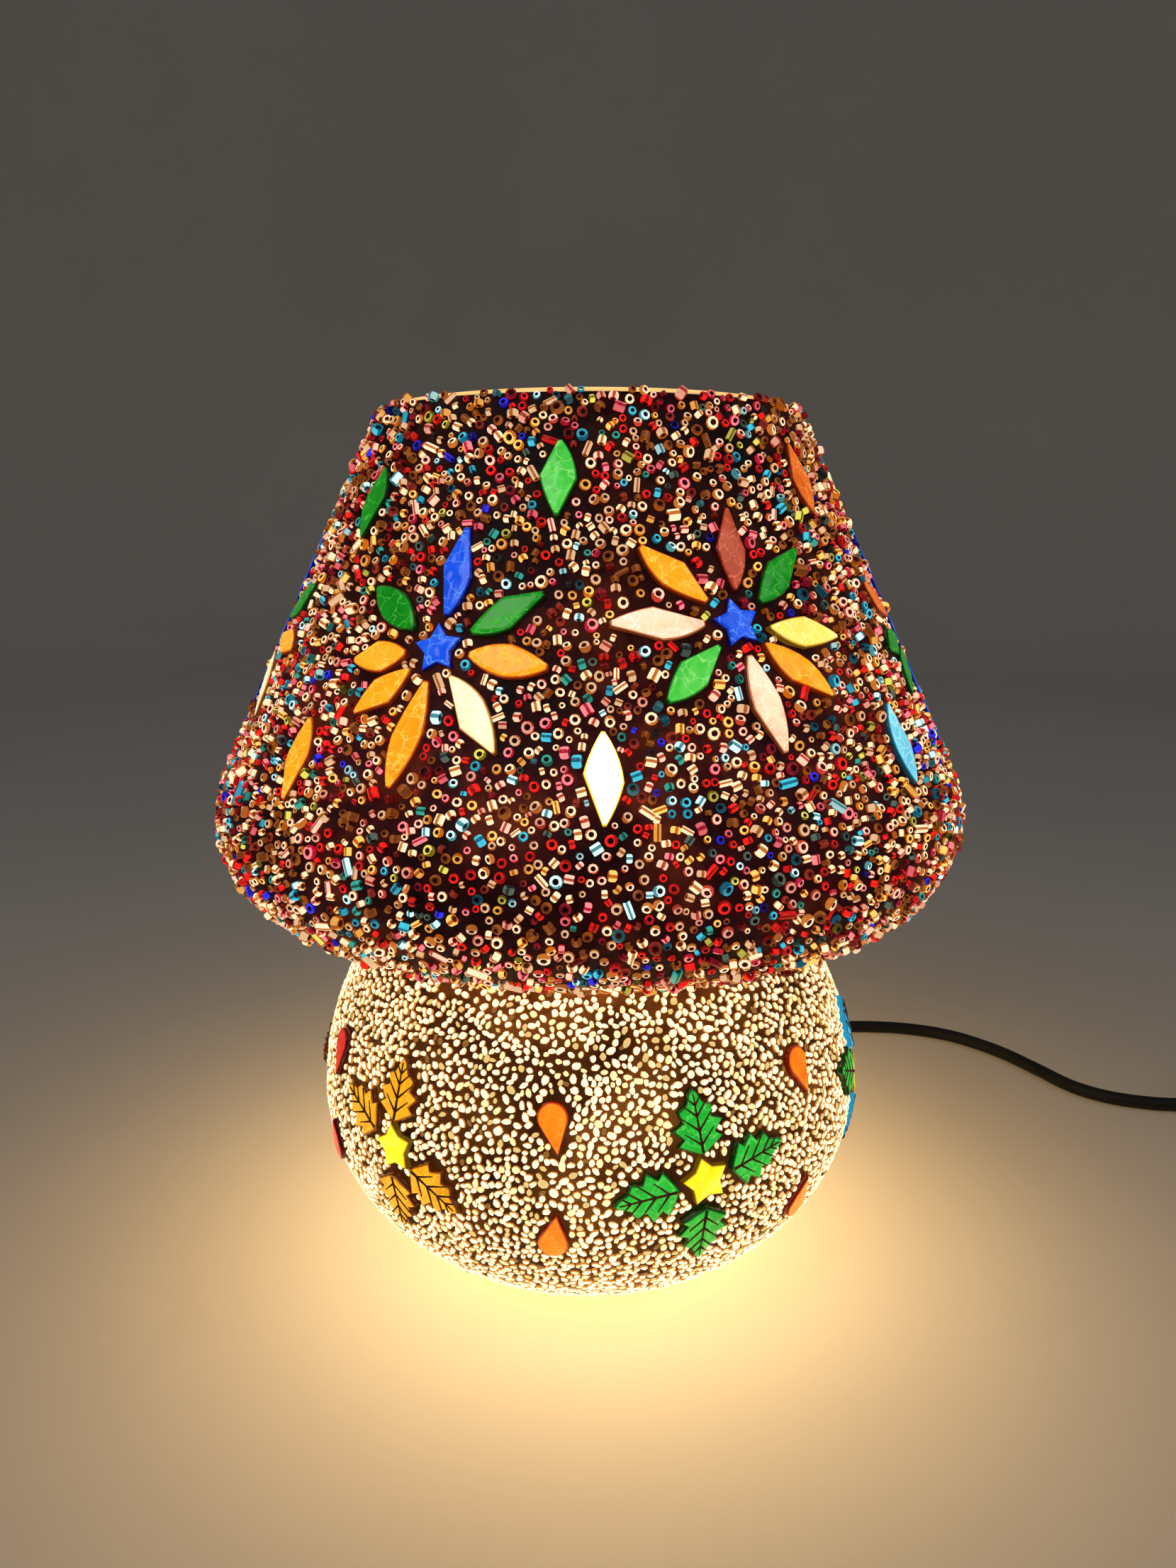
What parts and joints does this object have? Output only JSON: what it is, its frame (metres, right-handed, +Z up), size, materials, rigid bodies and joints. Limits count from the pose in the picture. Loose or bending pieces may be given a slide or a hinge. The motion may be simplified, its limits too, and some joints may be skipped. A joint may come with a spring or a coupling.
{
  "type": "mosaic glass table lamp",
  "caption": "Mushroom-shaped blown-glass table lamp covered in bead and chip mosaic with flower tiles, a screw-in bulb, flex, inline rocker switch and two-pin plug.",
  "frame": {"origin": "centre of the foot's underside, on the table", "axes": "+Z up the lamp's axis; -Y is the front, which faces the viewer; the flex leaves at the back, right of +Y"},
  "size_m": [0.4683, 0.2505, 0.25],
  "materials": {
    "amber_glass": "blown glass tinted warm amber, smooth inside, lit from within",
    "bead_glass": "mixed seed and bugle beads of cream, pink, red, teal and amber glass in a near-black maroon bed",
    "chip_glass": "cream glass chips packed in a dark amber bed, glowing",
    "tile_glass": "cut flat tiles of crackled coloured glass, blue, green, amber, yellow and rose, with dark edges",
    "blue_glass": "wrinkled blue glass",
    "leaf_glass": "moulded leaf tiles with dark veins, gold, green and blue",
    "yellow_glass": "wrinkled yellow glass",
    "orange_glass": "smooth orange glass",
    "felt": "pressed dark felt",
    "brass": "turned and stamped brass",
    "zinc_steel": "zinc-plated steel",
    "rubber": "matt black rubber",
    "black_moulding": "black moulding with a low sheen",
    "rocker_moulding": "dark rocker with a polished face",
    "ceramic": "glazed white ceramic",
    "core_insulation": "blue and brown core insulation",
    "clear_glass": "clear bulb glass",
    "nickel": "nickel-plated brass",
    "black_glass": "black glass insulator",
    "filament": "warm glowing filaments",
    "flex": "black PVC flex with a soft sheen",
    "tie_fabric": "woven hook-and-loop strap"
  },
  "bodies": {
    "root": {"glass_shade_side": "amber_glass", "glass_shoulder_upper": "amber_glass", "glass_shoulder_lower": "amber_glass", "glass_shade_floor": "amber_glass", "glass_base_upper": "amber_glass", "glass_base_lower": "amber_glass", "shade_bead_layer": "bead_glass", "base_chip_layer": "chip_glass", "shade_flower_1": "tile_glass", "shade_flower_2": "tile_glass", "shade_flower_3": "tile_glass", "shade_flower_4": "tile_glass", "shade_flower_5": "tile_glass", "shade_flower_6": "tile_glass", "shade_flower_7": "tile_glass", "shade_flower_stars": "blue_glass", "shade_upper_diamonds": "tile_glass", "shade_lower_diamonds": "tile_glass", "base_flower_1": "leaf_glass", "base_flower_2": "leaf_glass", "base_flower_3": "leaf_glass", "base_flower_4": "leaf_glass", "base_flower_5": "leaf_glass", "base_flower_6": "leaf_glass", "base_flower_stars": "yellow_glass", "base_drops": "orange_glass", "foot_pad": "felt", "stem_pipe": "brass", "stem_nuts": "zinc_steel", "stem_steel_washers": "zinc_steel", "stem_rubber_washers": "rubber", "holder_cap": "black_moulding", "holder_core": "ceramic", "holder_sleeve": "black_moulding", "holder_thread_shell": "brass", "holder_centre_contact": "brass", "holder_screws": "brass", "holder_leads": "core_insulation", "cord_inside": "flex", "cord_grommet": "flex", "cord_run": "flex", "cord_link": "flex", "cord_coil": "flex", "coil_tie": "tie_fabric", "cord_tail": "flex", "switch_lower": "black_moulding", "switch_upper": "black_moulding", "switch_axle": "zinc_steel", "switch_contacts": "brass", "switch_screws": "zinc_steel", "plug_body": "black_moulding", "plug_pins": "nickel", "plug_sleeves": "black_moulding"},
    "bulb_lift": {"bulb_tip": "nickel", "bulb_insulator": "black_glass"},
    "bulb": {"bulb_glass": "clear_glass", "bulb_cap": "nickel", "bulb_mount": "clear_glass", "bulb_filaments": "filament"},
    "rocker": {"switch_rocker": "rocker_moulding"}
  },
  "joints": [
    {"name": "bulb_rise", "type": "slide", "parent": "root", "child": "bulb_lift", "axis": [0, 0, 1], "range_m": [0, 0.01634]},
    {"name": "bulb_turn", "type": "hinge", "parent": "bulb_lift", "child": "bulb", "pos_m": [0, 0, 0.09], "axis": [0, 0, 1], "range_deg": [0, 1620]},
    {"name": "rocker_tilt", "type": "hinge", "parent": "root", "child": "rocker", "pos_m": [0.275, 0.067, 0.0135], "axis": [0, 1, 0], "range_deg": [-20, 0]}
  ],
  "couplings": [
    {"joint": "bulb_rise", "follows": "bulb_turn", "m_per_rad": 0.00057773}
  ]
}
